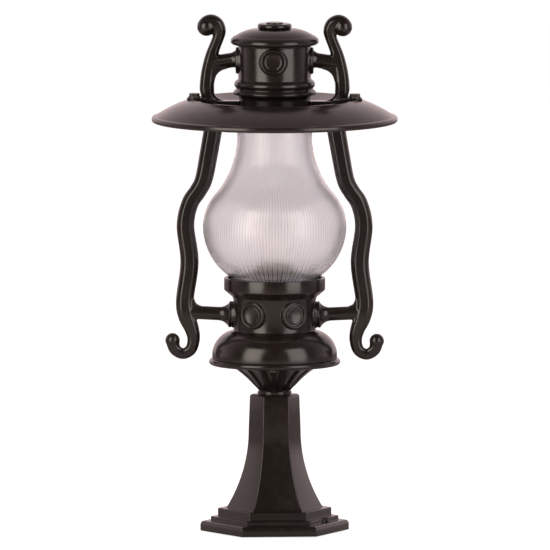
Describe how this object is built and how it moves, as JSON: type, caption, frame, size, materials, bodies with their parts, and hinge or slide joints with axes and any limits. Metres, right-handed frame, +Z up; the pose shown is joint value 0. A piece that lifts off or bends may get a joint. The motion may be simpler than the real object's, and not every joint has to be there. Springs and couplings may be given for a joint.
{
  "type": "lantern table lamp",
  "caption": "Cast lantern lamp on a hexagonal pedestal: ribbed glass globe under a wide round brim, side arms that end in scrolls, a crown with scroll handles, and a lift-off cap.",
  "frame": {"origin": "centre of the pedestal's underside, on the lamp's upright axis", "axes": "+Z up the lamp's axis; the two side arms lie along X; -Y is the front"},
  "size_m": [0.27, 0.27, 0.5709],
  "materials": {
    "black_paint": "semi-gloss black paint over a sand casting",
    "brim_paint": "satin black paint over spun sheet",
    "glass": "clear pressed glass with fine upright ribs",
    "opal": "opal bulb glass",
    "steel": "zinc plated",
    "screw_head": "black painted bolt heads",
    "brass": "plain brass",
    "rubber": "black silicone rubber",
    "holder": "heat resistant moulding",
    "block": "ivory moulding",
    "brown_lead": "brown wire sheath",
    "blue_lead": "blue wire sheath"
  },
  "bodies": {
    "lantern": {"pedestal": "black_paint", "fluted_neck": "black_paint", "threaded_tube": "steel", "tube_washers": "steel", "tube_nuts": "steel", "bowl": "black_paint", "bowl_screws": "steel", "left_arm": "black_paint", "right_arm": "black_paint", "arm_screws": "steel", "foot_gasket": "rubber", "globe": "glass", "top_gasket": "rubber", "brim": "brim_paint", "crown": "black_paint", "left_handle": "black_paint", "right_handle": "black_paint", "handle_screws": "steel", "brim_bolts": "screw_head", "brim_washers": "screw_head", "brim_nuts": "steel", "cap_seal": "rubber", "holder_plate": "brim_paint", "holder_screws": "steel", "lampholder": "holder", "holder_ring": "holder", "screw_shell": "brass", "centre_contact": "brass", "terminal_block": "block", "terminal_screws": "brass", "earth_screw": "brass", "live_lead": "brown_lead", "neutral_lead": "blue_lead"},
    "cap": {"cap": "black_paint", "spring_strap": "steel", "cap_bolt": "steel"},
    "finial": {"finial_nut": "black_paint"},
    "bulb": {"bulb_glass": "opal", "bulb_cap": "steel", "bulb_contact": "brass"}
  },
  "joints": [
    {"name": "cap_lift", "type": "slide", "parent": "lantern", "child": "cap", "axis": [0, 0, 1], "range_m": [0, 0.045]},
    {"name": "finial_turn", "type": "hinge", "parent": "cap", "child": "finial", "pos_m": [0, 0, 0.558], "axis": [0, 0, 1], "continuous": true},
    {"name": "bulb_turn", "type": "hinge", "parent": "lantern", "child": "bulb", "pos_m": [0, 0, 0.285], "axis": [0, 0, 1], "continuous": true}
  ]
}
